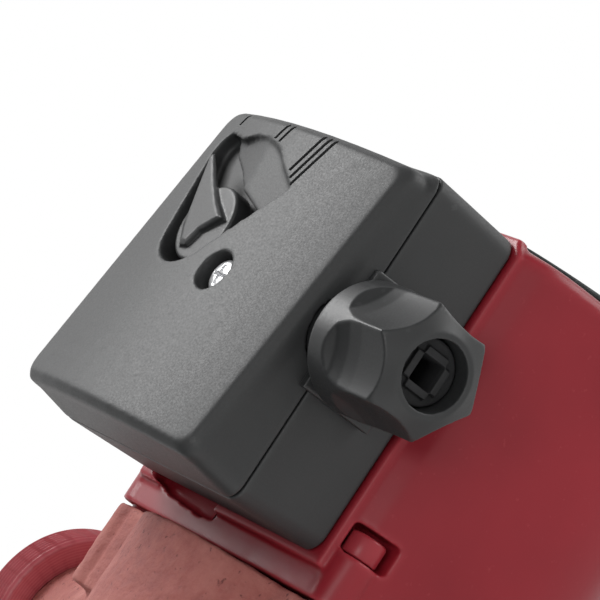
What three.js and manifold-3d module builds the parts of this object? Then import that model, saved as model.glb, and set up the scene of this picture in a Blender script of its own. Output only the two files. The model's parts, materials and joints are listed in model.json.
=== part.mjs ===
// Three-speed wet-rotor circulator pump for a heating pipe, in millimetres.
// Z runs up the pipe line, the motor axis points along -Y, and the terminal box sits on the -X side.
// "Reach" below is the distance from the pipe axis towards the motor end, so y = -reach.
import * as THREE from "three";
import { mergeVertices } from "three/addons/utils/BufferGeometryUtils.js";
import Module from "manifold-3d";

const wasm = await Module();
wasm.setup();

// Driving dimensions.
const PORT_TO_PORT = 180;
const COLLAR_RADIUS = 23.9; // G 1 1/2 union thread
const COLLAR_LENGTH = 9.8;
const NECK_RADIUS = 18.3;
const BORE_RADIUS = 12.5;
const VOLUTE_BACK = 31;
const JOINT_REACH = 28.3; // face where the volute meets the motor
const MOTOR_END = 110.3;
const MOTOR_RADIUS = 47;
const STATOR_RADIUS = 33.6;
const SCREW_X = 30; // flange screws stand on a 100 mm circle
const SCREW_Z = 40;
const EAR_RADIUS = 5.2;
const EAR_REACH = 39.8;
const SEAT_X = -36.9; // flat that carries the terminal box
const SEAT_HALF_WIDTH = 39.6;
const BOX_NEAR = 36.3;
const BOX_FAR = 109.8;
const BOX_HALF_WIDTH = 38;
const BOX_DRAFT = 1; // each half widens this much towards the split
const SPLIT_X = -60;
const WALL = 2.3;
const COVER_LOW_X = -66.6; // front face's long edges, at the motor end
const COVER_HIGH_X = -74.4; // the same edges at the volute end
const CROWN = 4.8; // rise of the front face between its long edges
const GLAND = { x: -57.8, reach: 73.9, front: -70.5, corners: 27.2, hole: 7.2 };
const KNOB = { reach: 82, z: 11.1, radius: 8.9, pointing: 41.5 }; // pointing: degrees at speed I
const DISC_TOP = -72.2; // x of the knob's disc
const DISH_X = -69.1; // floor of the selector's recess
const WELL_X = -66.3; // floor of the deeper well around the knob
const COVER_SCREW = { reach: 72.9, z: -7.6, seat: -70 };
const SCREW_CORE = 1.6; // core radius of the box fixing screws
const GAP = 0.3;
const TAU = 2 * Math.PI;
const DEG = Math.PI / 180;

// Materials.
const paint = (colour, roughness, metalness) =>
  new THREE.MeshStandardMaterial({ color: colour, roughness, metalness });
const redPaint = paint(0x8f2f38, 0.38, 0.1);
const castIron = paint(0xa8565a, 0.7, 0.2);
const blackPlastic = paint(0x3a3b3c, 0.55, 0);
const darkPlastic = paint(0x2b2c2d, 0.5, 0);
const zinc = paint(0xc9ccd0, 0.3, 0.9);
const stainless = paint(0xaeb2b6, 0.32, 0.9);
const brass = paint(0xb5924c, 0.35, 0.9);
const copper = paint(0xa8592c, 0.4, 0.8);
const steelSheet = paint(0x6a6d70, 0.55, 0.7);
const rubber = paint(0x17181a, 0.8, 0);
const carbon = paint(0x26272a, 0.45, 0.1);
const ceramic = paint(0xe2ddd2, 0.3, 0);
const whitePlastic = paint(0xd5d4cd, 0.5, 0);
const composite = paint(0xb9b29a, 0.6, 0);

const pump = new THREE.Group();

// A closed geometry as a solid with its faces pointing out.
function solid(geometry) {
  const bare = geometry.clone();
  bare.deleteAttribute("normal");
  bare.deleteAttribute("uv");
  const merged = mergeVertices(bare, 1e-4);
  const vertProperties = new Float32Array(merged.attributes.position.array);
  const triVerts = new Uint32Array(merged.index.array);
  const made = new wasm.Manifold(new wasm.Mesh({ numProp: 3, vertProperties, triVerts }));
  if (made.volume() > 0) return made;
  for (let i = 0; i < triVerts.length; i += 3) {
    [triVerts[i + 1], triVerts[i + 2]] = [triVerts[i + 2], triVerts[i + 1]];
  }
  return new wasm.Manifold(new wasm.Mesh({ numProp: 3, vertProperties, triVerts }));
}

// Adds a solid to the pump as a named mesh.
function piece(name, shape, material) {
  const mesh = shape.getMesh();
  const geometry = new THREE.BufferGeometry();
  geometry.setAttribute("position", new THREE.BufferAttribute(mesh.vertProperties, 3));
  geometry.setIndex(new THREE.BufferAttribute(mesh.triVerts, 1));
  geometry.computeVertexNormals();
  const made = new THREE.Mesh(geometry, material);
  made.name = name;
  pump.add(made);
}

const joined = (shapes) => shapes.reduce((whole, next) => whole.add(next));

// A block between two opposite corners.
function block([x0, y0, z0], [x1, y1, z1]) {
  const box = new THREE.BoxGeometry(Math.abs(x1 - x0), Math.abs(y1 - y0), Math.abs(z1 - z0));
  return solid(box.translate((x0 + x1) / 2, (y0 + y1) / 2, (z0 + z1) / 2));
}

// Puts a geometry made along +Y so that its +Y points along the given axis.
function along(geometry, axis) {
  const turn = new THREE.Quaternion().setFromUnitVectors(new THREE.Vector3(0, 1, 0), axis);
  return geometry.applyQuaternion(turn);
}

const axes = {
  motor: new THREE.Vector3(0, -1, 0),
  up: new THREE.Vector3(0, 0, 1),
  down: new THREE.Vector3(0, 0, -1),
  front: new THREE.Vector3(-1, 0, 0),
};

// A round bar along an axis, from one distance to another, about a point.
function bar(axis, centre, radius, from, to, sides = 20) {
  const rod = new THREE.CylinderGeometry(radius, radius, to - from, sides);
  return solid(along(rod.translate(0, (from + to) / 2, 0), axes[axis]).translate(...centre));
}

// A turned body about an axis: its profile is a list of [radius, distance along the axis].
function turned(axis, centre, profile, sides = 28) {
  const points = profile.map(([r, h]) => new THREE.Vector2(r, h));
  return solid(along(new THREE.LatheGeometry(points, sides), axes[axis]).translate(...centre));
}

// A turned ring with a rectangular section.
function ring(axis, centre, inner, outer, from, to, sides = 28) {
  const profile = [[inner, from], [outer, from], [outer, to], [inner, to], [inner, from]];
  return turned(axis, centre, profile, sides);
}

// An outline in the XZ plane, extruded along the motor axis between two reaches.
function slab(outline, from, to) {
  const shape = new THREE.Shape(outline.map(([x, z]) => new THREE.Vector2(x, z)));
  const geometry = new THREE.ExtrudeGeometry(shape, { depth: to - from, bevelEnabled: false });
  return solid(geometry.rotateX(Math.PI / 2).translate(0, -from, 0));
}

// An outline in the (reach, z) plane, extruded between two X values.
function panel(outline, low, high) {
  const shape = new THREE.Shape(outline.map(([reach, z]) => new THREE.Vector2(-reach, z)));
  const geometry = new THREE.ExtrudeGeometry(shape, { depth: high - low, bevelEnabled: false });
  const place = new THREE.Matrix4().set(0, 0, 1, low, 1, 0, 0, 0, 0, 1, 0, 0, 0, 0, 0, 1);
  return solid(geometry.applyMatrix4(place));
}

// A closed skin over rings of equal point counts, with a fan at each end.
function loft(rings) {
  const count = rings[0].length;
  const positions = rings.flat(2);
  const faces = [];
  for (let k = 0; k < rings.length - 1; k += 1) {
    for (let i = 0; i < count; i += 1) {
      const a = k * count + i;
      const b = k * count + ((i + 1) % count);
      faces.push(a, b, b + count, a, b + count, a + count);
    }
  }
  for (const [start, flip] of [[0, true], [(rings.length - 1) * count, false]]) {
    for (let i = 1; i < count - 1; i += 1) {
      faces.push(start, flip ? start + i + 1 : start + i, flip ? start + i : start + i + 1);
    }
  }
  const geometry = new THREE.BufferGeometry();
  geometry.setAttribute("position", new THREE.Float32BufferAttribute(positions, 3));
  geometry.setIndex(faces);
  return solid(geometry);
}

// A rounded rectangle in the (reach, z) plane; x may vary with the reach and z of each point.
function boxRing(near, far, halfWidth, corner, xAt) {
  const points = [];
  const steps = 4;
  const corners = [[near, -1, 180], [far, -1, 270], [far, 1, 0], [near, 1, 90]];
  for (const [end, side, start] of corners) {
    const inward = end === near ? 1 : -1;
    for (let i = 0; i <= steps; i += 1) {
      const angle = (start + (90 * i) / steps) * DEG;
      const reach = end + inward * corner + corner * Math.cos(angle);
      const z = side * (halfWidth - corner) + corner * Math.sin(angle);
      points.push([xAt(reach, z), -reach, z]);
    }
  }
  return points;
}

const ears = [[-1, -1], [-1, 1], [1, 1], [1, -1]].map(([sx, sz]) => [sx * SCREW_X, sz * SCREW_Z]);
const onMotorAxis = [0, 0, 0];
// Screws through the box base into the seat, in (reach, z); the last one is the earth terminal.
const fixingPlaces = [[60, 30], [98, -30], [62, -20]];

// ---- Cast volute with its two ports ----
function makePumpHousing() {
  const port = PORT_TO_PORT / 2;
  const bowl = turned("motor", onMotorAxis, [
    [0, -VOLUTE_BACK], [24, -VOLUTE_BACK], [35, -26], [43, -14], [46, 4], [46, JOINT_REACH],
    [0, JOINT_REACH],
  ], 36);
  const shoulder = port - COLLAR_LENGTH;
  const neck = [
    [0, 12], [30, 22], [31, 34], [29, 43], [25.6, 52], [22, 61], [19.3, 70], [NECK_RADIUS, shoulder],
    [COLLAR_RADIUS - 1, shoulder], [COLLAR_RADIUS, shoulder + 1], [COLLAR_RADIUS, port - 1],
    [COLLAR_RADIUS - 1, port], [0, port],
  ];
  const necks = ["up", "down"].map((axis) => turned(axis, onMotorAxis, neck));
  const flats = block([-35, -8, -36], [35, -JOINT_REACH, 36]);
  const earBars = ears.map(([x, z]) => bar("motor", [x, 0, z], EAR_RADIUS, 8, JOINT_REACH, 16));
  const motorSide = block([-60, -JOINT_REACH, -60], [60, -60, 60]);
  const body = joined([bowl, ...necks, flats, ...earBars]).subtract(motorSide);
  const impellerRoom = turned("motor", onMotorAxis, [[0, 8], [39, 8], [39, 40], [0, 40]], 32);
  const suctionRoom = turned("motor", onMotorAxis, [[0, -26], [18, -26], [24, -20], [24, 4], [0, 4]], 24);
  const eye = bar("motor", onMotorAxis, 13.3, 0, 12, 28);
  const bores = ["up", "down"].map((axis) => bar(axis, onMotorAxis, BORE_RADIUS, 48, port + 1, 28));
  // Passages that swing from the straight bores to the suction room and to the impeller room.
  const swing = (from, to, radius) => {
    const way = new THREE.Vector3(...to).sub(new THREE.Vector3(...from));
    const rod = new THREE.CylinderGeometry(radius, radius, way.length(), 16);
    rod.translate(0, way.length() / 2, 0);
    return solid(along(rod, way.clone().normalize()).translate(...from));
  };
  const inlet = swing([0, 0, -56], [0, 10, -14], 10.2);
  const outlet = swing([0, 0, 57], [0, -17, 26], 9.6);
  const taps = ears.map(([x, z]) => bar("motor", [x, 0, z], 2.9, 14, JOINT_REACH + 1, 12));
  const cuts = [impellerRoom, suctionRoom, eye, ...bores, inlet, outlet, ...taps];
  piece("pump_housing", body.subtract(joined(cuts)), castIron);
}

// ---- Motor housing: painted shell with a flat seat for the terminal box ----
function makeMotorHousing() {
  const arcStart = 84.6; // degrees from -X to where the flat flanks meet the round side
  const arcSteps = 24;
  const flank = [-29, -44.5];
  const shell = [[SEAT_X + 1.2, -SEAT_HALF_WIDTH + 0.2], flank];
  for (let i = 0; i <= arcSteps; i += 1) {
    const angle = (180 + arcStart + ((360 - 2 * arcStart) * i) / arcSteps) * DEG;
    shell.push([MOTOR_RADIUS * Math.cos(angle), MOTOR_RADIUS * Math.sin(angle)]);
  }
  shell.push([flank[0], -flank[1]], [SEAT_X + 1.2, SEAT_HALF_WIDTH - 0.2]);
  const face = JOINT_REACH + 0.4;
  const boxEdge = BOX_NEAR - 1.6; // the seat starts a little before the terminal box
  const inset = 3.4;
  const scaled = (k, seat) => shell.map(([x, z]) => [Math.max(x * k, seat), z * k]);
  const outer = slab(scaled(1, SEAT_X), face, MOTOR_END);
  const seat = block([SEAT_X, -boxEdge, -SEAT_HALF_WIDTH], [-20, -MOTOR_END, SEAT_HALF_WIDTH]);
  const lip = block([SEAT_X, -100, -SEAT_HALF_WIDTH], [SEAT_X + 2.4, -BOX_FAR - 1.5, SEAT_HALF_WIDTH]);
  const flange = slab([
    [-35, -33], [-32, -38], [32, -38], [35, -33], [35, 33], [32, 38], [-32, 38], [-35, 33],
  ], face, EAR_REACH - 4);
  const rim = ring("motor", onMotorAxis, 30, 49, face, EAR_REACH - 2, 36);
  const earBars = ears.map(([x, z]) => bar("motor", [x, 0, z], EAR_RADIUS, face, EAR_REACH, 16));
  const flatSide = block([-60, -face + 1, -60], [-35, -60, 60]);
  const belowBox = block([-60, -face + 1, -60], [-35, -boxEdge, 60]);
  let body = joined([outer.subtract(belowBox), rim.subtract(flatSide), flange, seat, lip, ...earBars]);
  // Clearance pockets beside the screw heads.
  const pockets = ears.map(([x, z]) => {
    return bar("motor", [x, 0, z], EAR_RADIUS - 0.2, EAR_REACH, EAR_REACH + 9, 16);
  });
  const clearHoles = ears.map(([x, z]) => bar("motor", [x, 0, z], 2.9, face - 1, EAR_REACH + 1, 12));
  body = body.subtract(joined([...pockets, ...clearHoles]));
  const shrink = (MOTOR_RADIUS - inset) / MOTOR_RADIUS;
  const hollow = slab(scaled(shrink, SEAT_X + inset), EAR_REACH + 2.2, MOTOR_END - 5);
  const mouth = bar("motor", onMotorAxis, STATOR_RADIUS + 0.4, face - 1, MOTOR_END - 12, 40);
  const ribs = [20, 60, 100, 140, 220, 260, 300, 340].map((angle) => {
    const rib = new THREE.BoxGeometry(18, 70, 3).translate(STATOR_RADIUS + 9.4, -76, 0);
    return solid(rib.rotateY(angle * DEG + Math.PI));
  });
  body = body.subtract(hollow.subtract(joined(ribs))).subtract(mouth);
  const ventHole = bar("motor", onMotorAxis, 7.4, MOTOR_END - 8, MOTOR_END + 3, 28);
  const wireHole = bar("front", [0, -60, 0], 7, 20, 45, 20);
  const bossHoles = fixingPlaces.map(([reach, z]) => bar("front", [0, -reach, z], 2, 30, 45, 10));
  piece("motor_housing", body.subtract(joined([ventHole, wireHole, ...bossHoles])), redPaint);
}

// ---- Wet end and rotor ----
function makeHydraulics() {
  const blades = [];
  const bladeCount = 6;
  for (let i = 0; i < bladeCount; i += 1) {
    const blade = new THREE.BoxGeometry(19, 6.4, 1.8).translate(21.5, -16.2, 0).rotateY(0.5);
    blades.push(solid(blade.rotateY((TAU * i) / bladeCount)));
  }
  const rearShroud = turned("motor", onMotorAxis, [
    [4.6, 18.5], [31, 18.5], [31, 20.5], [9, 21.5], [9, 24], [4.6, 24], [4.6, 18.5],
  ]);
  const frontShroud = ring("motor", onMotorAxis, 12, 31, 12, 13.6);
  const skirt = ring("motor", onMotorAxis, 10.4, 12.2, 5, 13.6);
  piece("impeller", joined([rearShroud, frontShroud, skirt, ...blades]), composite);
  piece("neck_ring", ring("motor", onMotorAxis, 12.5, 13.0, 4.4, 7.7, 28), stainless);
  piece("shaft", ring("motor", onMotorAxis, 1.4, 4.3, 14, 101, 20), ceramic);
  piece("rotor", ring("motor", onMotorAxis, 4.6, 22.3, 40, 84), stainless);
  piece("thrust_bearing", ring("motor", onMotorAxis, 4.6, 10, 36.2, 39.6, 24), carbon);
  const plate = [
    [8.4, 27], [8.4, 25.4], [38.6, 25.4], [38.6, 27], [11, 27], [11, 35.6], [8.4, 35.6], [8.4, 27],
  ];
  piece("bearing_plate", turned("motor", onMotorAxis, plate), stainless);
  piece("front_bearing", ring("motor", onMotorAxis, 4.6, 8.1, 27, 35.6, 24), carbon);
  const can = [
    [33, 27.4], [33, 28.2], [24.2, 28.2], [24.2, 97.2], [13, 97.2], [13, 103], [9.4, 103], [9.4, 96.4],
    [23.6, 96.4], [23.6, 27.4], [33, 27.4],
  ];
  piece("rotor_can", turned("motor", onMotorAxis, can), stainless);
  piece("rear_bearing", ring("motor", onMotorAxis, 4.6, 9.1, 92, 102, 24), carbon);
  piece("housing_gasket", ring("motor", onMotorAxis, 34.6, 38.4, 27.3, 28.4), rubber);
}

// ---- Stator ----
function makeStator() {
  const core = ring("motor", onMotorAxis, 24.6, STATOR_RADIUS, 50, 86, 36);
  const slotCount = 12;
  const slots = [];
  for (let i = 0; i < slotCount; i += 1) {
    const slot = new THREE.BoxGeometry(6, 40, 3.4).translate(26, -68, 0);
    slots.push(solid(slot.rotateY((TAU * i) / slotCount)));
  }
  piece("stator_core", core.subtract(joined(slots)), steelSheet);
  const bundle = (from, to) => turned("motor", onMotorAxis, [
    [25.4, from + 1], [27, from], [31, from], [32.6, from + 2], [32.6, to - 2], [31, to], [27, to],
    [25.4, to - 1], [25.4, from + 1],
  ], 20);
  piece("front_winding", bundle(43.5, 49.6), copper);
  piece("rear_winding", bundle(86.4, 95), copper);
}

// ---- Motor end: blank plate and vent plug ----
function makeMotorEnd() {
  const disc = ring("motor", onMotorAxis, 11, 44, MOTOR_END + GAP, MOTOR_END + 1.6, 40);
  const flatSide = block([-60, -100, -60], [SEAT_X + 2.8, -120, 60]); // clears the lip by the box
  piece("end_plate", disc.subtract(flatSide), darkPlastic);
  const cap = turned("motor", onMotorAxis, [
    [0, 104.5], [6.8, 104.5], [6.8, MOTOR_END + 1.3], [10.4, MOTOR_END + 1.3], [10.4, MOTOR_END + 4.2],
    [9.6, MOTOR_END + 5], [0, MOTOR_END + 5],
  ], 24);
  const slot = block([-7.5, -MOTOR_END - 2.6, -1], [7.5, -MOTOR_END - 6, 1]);
  piece("vent_plug", cap.subtract(slot), brass);
  const seal = ring("motor", onMotorAxis, 7.1, 10, MOTOR_END + GAP, MOTOR_END + 1, 28);
  piece("vent_plug_seal", seal, rubber);
}

// ---- Socket cap screws that clamp the motor to the volute ----
function makeFlangeScrews() {
  ears.forEach(([x, z], index) => {
    const screw = turned("motor", [x, 0, z], [
      [0, 16], [2.5, 16], [2.5, EAR_REACH + GAP], [4, EAR_REACH + GAP], [4, EAR_REACH + 4.8],
      [3.6, EAR_REACH + 5.2], [0, EAR_REACH + 5.2],
    ], 16);
    const socket = bar("motor", [x, 0, z], 2.3, EAR_REACH + 2.6, EAR_REACH + 6, 6);
    piece(`flange_screw_${index + 1}`, screw.subtract(socket), zinc);
  });
}

const glandCentre = [GLAND.x, -GLAND.reach, 0];
const glandOpening = () => bar("down", glandCentre, 9.4, 20, 60, 28);
const screwCentre = [0, -COVER_SCREW.reach, COVER_SCREW.z];
const knobCentre = [0, -KNOB.reach, KNOB.z];

// ---- Terminal box base: a drafted tray screwed to the seat ----
function makeBoxBase() {
  const floorX = SEAT_X - GAP;
  const edgeX = SPLIT_X + 0.1;
  const wide = (grow, x, corner) =>
    boxRing(BOX_NEAR - grow, BOX_FAR + grow, BOX_HALF_WIDTH + grow, corner, () => x);
  const outer = loft([wide(0, floorX, 3.5), wide(BOX_DRAFT, edgeX, 3.5)]);
  const inner = loft([wide(-WALL, floorX - WALL, 2), wide(BOX_DRAFT - WALL, edgeX - 1, 2)]);
  let body = outer.subtract(inner);
  body = body.add(bar("front", screwCentre, 3.6, -floorX + 1, -edgeX, 16));
  const driverHole = bar("front", screwCentre, 1.9, 44, 70, 10);
  const wireHole = bar("front", [0, -60, 0], 6.6, 30, 45, 20);
  const fixings = fixingPlaces.map(([reach, z]) => bar("front", [0, -reach, z], 2, 30, 45, 10));
  const cuts = joined([driverHole, wireHole, ...fixings, glandOpening()]);
  piece("terminal_box_base", body.subtract(cuts), blackPlastic);
  const seatOn = -floorX + WALL + GAP;
  fixingPlaces.forEach(([reach, z], index) => {
    const screw = turned("front", [0, -reach, z], [
      [0, seatOn - 5.4], [SCREW_CORE, seatOn - 5.4], [SCREW_CORE, seatOn], [2 * SCREW_CORE, seatOn],
      [2 * SCREW_CORE, seatOn + 1.7], [0, seatOn + 2.3],
    ], 12);
    const earth = index === fixingPlaces.length - 1;
    piece(earth ? "earth_screw" : `box_fixing_screw_${index + 1}`, screw, earth ? brass : zinc);
  });
}

// The cover's front face: higher at the volute end and crowned between its long edges.
function frontX(reach, z, inset = 0) {
  const slope = (COVER_HIGH_X - COVER_LOW_X) / (BOX_FAR - BOX_NEAR);
  const rise = CROWN * Math.max(0, 1 - (z / BOX_HALF_WIDTH) ** 2);
  return COVER_LOW_X + slope * (BOX_FAR - reach) - rise + inset;
}

// The speed selector's recess: a fan around the knob, in (reach, z).
function recessOutline(grow) {
  const fan = [];
  const arc = (reach, z, radius, from, to, steps) => {
    for (let i = 0; i <= steps; i += 1) {
      const angle = (from + ((to - from) * i) / steps) * DEG;
      fan.push([reach + (radius + grow) * Math.cos(angle), z + (radius + grow) * Math.sin(angle)]);
    }
  };
  arc(0, 0, 11, 122, 241, 6);
  arc(12.4, -20.4, 1, 241, 320, 2);
  arc(0, 0, 21.7, -38, 24, 5);
  arc(16.6, 14, 4.6, 24, 122, 4);
  return fan.map(([reach, z]) => [KNOB.reach + reach, KNOB.z + z]);
}

// ---- Terminal box cover ----
function makeCover() {
  const edgeX = SPLIT_X - 0.2;
  const ringAt = (grow, corner, xAt) => {
    return boxRing(BOX_NEAR - grow, BOX_FAR + grow, BOX_HALF_WIDTH + grow, corner, xAt);
  };
  const face = (inset) => (reach, z) => frontX(reach, z, inset);
  const outer = loft([
    ringAt(BOX_DRAFT, 3.5, () => edgeX), ringAt(-0.6, 3.5, face(1.6)), ringAt(-2, 3, face(0.1)),
    ringAt(-9, 3, face(0)), ringAt(-16, 3, face(0)), ringAt(-23, 3, face(0)), ringAt(-31, 3, face(0)),
  ]);
  const inner = loft([
    ringAt(BOX_DRAFT - WALL, 2, () => edgeX + 1), ringAt(-0.6 - WALL, 2, face(3.9)),
    ringAt(-9, 2, face(2.6)), ringAt(-19, 2, face(2.6)), ringAt(-30, 2, face(2.6)),
  ]);
  const floorThickness = 2;
  const outside = 85; // a reach along -X beyond the whole cover
  const pocketBody = panel(recessOutline(1.8), -outside, DISH_X + floorThickness).intersect(outer);
  const wellBody = bar("front", knobCentre, 15.6, -WELL_X - floorThickness, -DISH_X, 28).intersect(outer);
  const post = bar("front", screwCentre, 6.4, -edgeX, outside, 24).intersect(outer);
  const body = joined([outer.subtract(inner), pocketBody, wellBody, post]);
  const recess = panel(recessOutline(0), -outside, DISH_X);
  const well = bar("front", knobCentre, 14, -WELL_X, outside, 28);
  const wellInside = well.intersect(panel(recessOutline(0), -outside, -40));
  const spindleHole = bar("front", knobCentre, 4.2, 50, outside, 20);
  const counterbore = bar("front", screwCentre, 4.7, -COVER_SCREW.seat, outside, 24);
  const screwHole = bar("front", screwCentre, 1.9, 50, outside, 12);
  const cuts = joined([recess, wellInside, spindleHole, counterbore, screwHole, glandOpening()]);
  piece("terminal_box_cover", body.subtract(cuts), blackPlastic);
  makeCoverScrew();
}

// Cross-head screw down the cover's central post.
function makeCoverScrew() {
  const seat = -COVER_SCREW.seat + 0.2;
  const screw = turned("front", screwCentre, [
    [0, 46], [1.5, 46], [1.5, seat], [3.6, seat], [3.6, seat + 1.6], [2.4, seat + 2.8], [0, seat + 2.8],
  ], 20);
  const crossLength = 3.6;
  const crossWidth = 0.9;
  const arms = [[crossLength, crossWidth], [crossWidth, crossLength]].map(([dy, dz]) => block(
    [-seat - 1.4, -COVER_SCREW.reach - dy / 2, COVER_SCREW.z - dz / 2],
    [-seat - 4, -COVER_SCREW.reach + dy / 2, COVER_SCREW.z + dz / 2],
  ));
  piece("cover_screw", screw.subtract(joined(arms)), zinc);
}

// ---- Speed selector: disc with a raised pointer, its spindle, and the switch below ----
function makeSelector() {
  const top = -DISC_TOP;
  const underside = top - 4.5;
  const disc = turned("front", knobCentre, [
    [0, 50], [2.6, 50], [2.6, 62], [3.8, 62], [3.8, underside], [KNOB.radius, underside],
    [KNOB.radius, top - 0.8], [KNOB.radius - 0.8, top], [0, top],
  ], 28);
  const pointing = KNOB.pointing * DEG;
  const fin = [
    [20.2, 0.4], [11, -1.6], [3.3, -3.8], [-2.9, -6.3], [-2.5, 0.6], [-4.3, 4.3], [-2.8, 6.5], [3.2, 6.3],
    [13.9, 3.6], [19.8, 2],
  ];
  const place = (u, v) => [
    KNOB.reach + u * Math.cos(pointing) - v * Math.sin(pointing),
    KNOB.z + u * Math.sin(pointing) + v * Math.cos(pointing),
  ];
  // The pointer's top falls towards its tip, below the cover's face.
  const finTop = (u) => DISC_TOP - 1.4 + 0.13 * u;
  const corners = [[-30, -30], [30, -30], [30, 30], [-30, 30]];
  const cornerRing = (xAt) => corners.map(([u, v]) => {
    const [reach, z] = place(u, v);
    return [xAt(u), -reach, z];
  });
  const underSlope = loft([cornerRing(() => DISH_X - GAP), cornerRing(finTop)]);
  const pointer = panel(fin.map(([u, v]) => place(u, v)), -80, DISH_X - GAP).intersect(underSlope);
  piece("speed_knob", disc.add(pointer), darkPlastic);
  const body = block([-39.8, -KNOB.reach - 10, KNOB.z - 9], [-55, -KNOB.reach + 10, KNOB.z + 9]);
  const socket = bar("front", knobCentre, 2.9, 49, 58, 16);
  piece("speed_switch", body.subtract(socket), whitePlastic);
}

// ---- Terminals and capacitor inside the box ----
function makeElectrics() {
  const terminalX = -39.8;
  let strip = block([terminalX, -43, -20], [-52, -55, 16]);
  const wells = [];
  const wellFloor = 49;
  for (const z of [-14, -2, 10]) {
    wells.push(bar("front", [0, -49, z], 2.6, wellFloor, 56, 12));
    const screw = bar("front", [0, -49, z], 2.2, wellFloor + 0.4, wellFloor + 2.4, 10);
    piece(`terminal_screw_${wells.length}`, screw, brass);
  }
  strip = strip.subtract(joined(wells));
  piece("terminal_block", strip, whitePlastic);
  piece("capacitor", bar("up", [-49.5, -100, 0], 7.5, -24, 6, 24), carbon);
}

// ---- Cable gland: square-flanged body, rubber insert and fluted hexagon nut ----
function makeGland() {
  const { x, reach } = GLAND;
  const outerZ = -BOX_HALF_WIDTH - BOX_DRAFT - GAP;
  const flange = block([x - 11, -reach - 13.5, outerZ], [x + 13, -reach + 13.5, outerZ - 2]);
  const tube = bar("down", glandCentre, 9, 30, 63, 28);
  const innerFlange = block([x - 5, -reach - 12, -33.6], [x + 12, -reach + 12, -31.6]);
  const bore = bar("down", glandCentre, 7.1, 20, 70, 24);
  piece("gland_body", joined([flange, tube, innerFlange]).subtract(bore), blackPlastic);
  const insertHole = block([x - 2.8, -reach - 2.8, -80], [x + 2.8, -reach + 2.8, 0]);
  piece("gland_seal", bar("down", glandCentre, 6.8, 50, 67.6, 24).subtract(insertHole), rubber);
  const cornerRadius = GLAND.corners / 2;
  const front = -GLAND.front;
  let nut = turned("down", glandCentre, [
    [0, 44], [12.6, 44], [cornerRadius, 47], [cornerRadius, front - 3], [9.4, front - 0.6],
    [8.2, front], [0, front],
  ], 36);
  const firstCorner = -115; // the nut's corners start here, in degrees from +X towards +Y
  const flutes = [];
  for (let i = 0; i < 6; i += 1) {
    const middle = (firstCorner + 30 + 60 * i) * DEG;
    const distance = cornerRadius + 15.4;
    const centre = [x + distance * Math.cos(middle), -reach + distance * Math.sin(middle), 0];
    flutes.push(turned("down", centre, [[0, 50], [14, 50], [17.6, 56], [17.6, 72], [0, 72]], 32));
  }
  nut = nut.subtract(joined(flutes));
  const thread = bar("down", glandCentre, 9.3, 40, 63.3, 28);
  const mouth = bar("down", glandCentre, GLAND.hole, 60, 80, 28);
  piece("gland_nut", nut.subtract(thread).subtract(mouth), blackPlastic);
}

makePumpHousing();
makeMotorHousing();
makeHydraulics();
makeStator();
makeMotorEnd();
makeFlangeScrews();
makeBoxBase();
makeCover();
makeSelector();
makeElectrics();
makeGland();

export default pump;
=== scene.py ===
"""Circulator pump: camera, light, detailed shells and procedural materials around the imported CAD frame.

Lengths are in millimetres until a mesh is made. "Reach" is the distance from the pipe axis towards the
motor end, so y = -reach, as in the CAD source.
"""
import json
import math

import bmesh
import bpy
from mathutils import Matrix, Vector


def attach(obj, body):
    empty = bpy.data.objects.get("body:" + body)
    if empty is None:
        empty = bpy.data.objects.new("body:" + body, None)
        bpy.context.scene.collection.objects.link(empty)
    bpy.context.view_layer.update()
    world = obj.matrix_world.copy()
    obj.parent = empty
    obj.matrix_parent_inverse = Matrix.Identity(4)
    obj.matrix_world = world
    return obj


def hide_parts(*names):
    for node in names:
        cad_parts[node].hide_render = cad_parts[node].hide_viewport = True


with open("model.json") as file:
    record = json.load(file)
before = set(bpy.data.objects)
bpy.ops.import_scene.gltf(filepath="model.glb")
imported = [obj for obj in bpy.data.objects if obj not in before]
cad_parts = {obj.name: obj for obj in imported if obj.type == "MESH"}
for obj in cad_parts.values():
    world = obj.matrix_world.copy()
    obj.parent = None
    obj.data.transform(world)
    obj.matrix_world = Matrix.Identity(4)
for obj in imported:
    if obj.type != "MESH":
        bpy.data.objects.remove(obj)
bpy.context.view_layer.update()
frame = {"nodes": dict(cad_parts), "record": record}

MM = 0.001

# ---- Driving dimensions ----
JOINT_REACH = 28.7  # face where the motor meets the volute
MOTOR_END = 110.3  # far end of the shell
MOTOR_RADIUS = 47
STATOR_RADIUS = 33.6
SEAT_X = -36.9  # flat under the terminal box
SEAT_HALF_WIDTH = 39.6
SEAT_MARGIN = 1.6  # how far the seat starts before the box
SCREW_X = 30
SCREW_Z = 40
EAR_RADIUS = 5.2
EAR_REACH = 39.8  # motor-side face of the screw ears
EAR_FOOT = 8  # pipe-side face of the screw ears
SCREW_HOLE_RADIUS = 2.9
SCREW_POCKET = (4.7, 6.6)  # radius and depth beside a screw head
PORT = 90  # face of a pipe port, up or down from the motor axis
COLLAR_RADIUS = 23.9
COLLAR_LENGTH = 9.8
BORE_RADIUS = 12.5
BOX_NEAR = 36.3  # ends of the terminal box, by reach
BOX_FAR = 109.8
BOX_HALF_WIDTH = 38
BOX_DRAFT = 1
SPLIT_X = -60  # where the cover meets its base
WALL = 2.3
CORNER = 3.8  # radius of the box's upright corners, outside and inside
INNER_CORNER = 2
COVER_LOW_X = -66.6  # front face at the motor end and at the pipe end, before its crown
COVER_HIGH_X = -74.4
CROWN = 4.8
KNOB_REACH = 82
KNOB_Z = 11.1
KNOB_RADIUS = 8.9
KNOB_POINTING = math.radians(41.5)
DISC_TOP = -72.2
POINTER_FOOT_X = -71.55
POINTER_CLEARANCE = 0.35
WELL_X = -66.3  # floor of the deep part round the knob
COVER_SCREW_REACH = 72.9
COVER_SCREW_Z = -7.6
COVER_SCREW_SEAT = -70
DRIVER_HOLE_RADIUS = 1.9
GLAND_HOLE_RADIUS = 9.4
GLAND_X = -57.8  # axis of the cable gland, which points down
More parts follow.
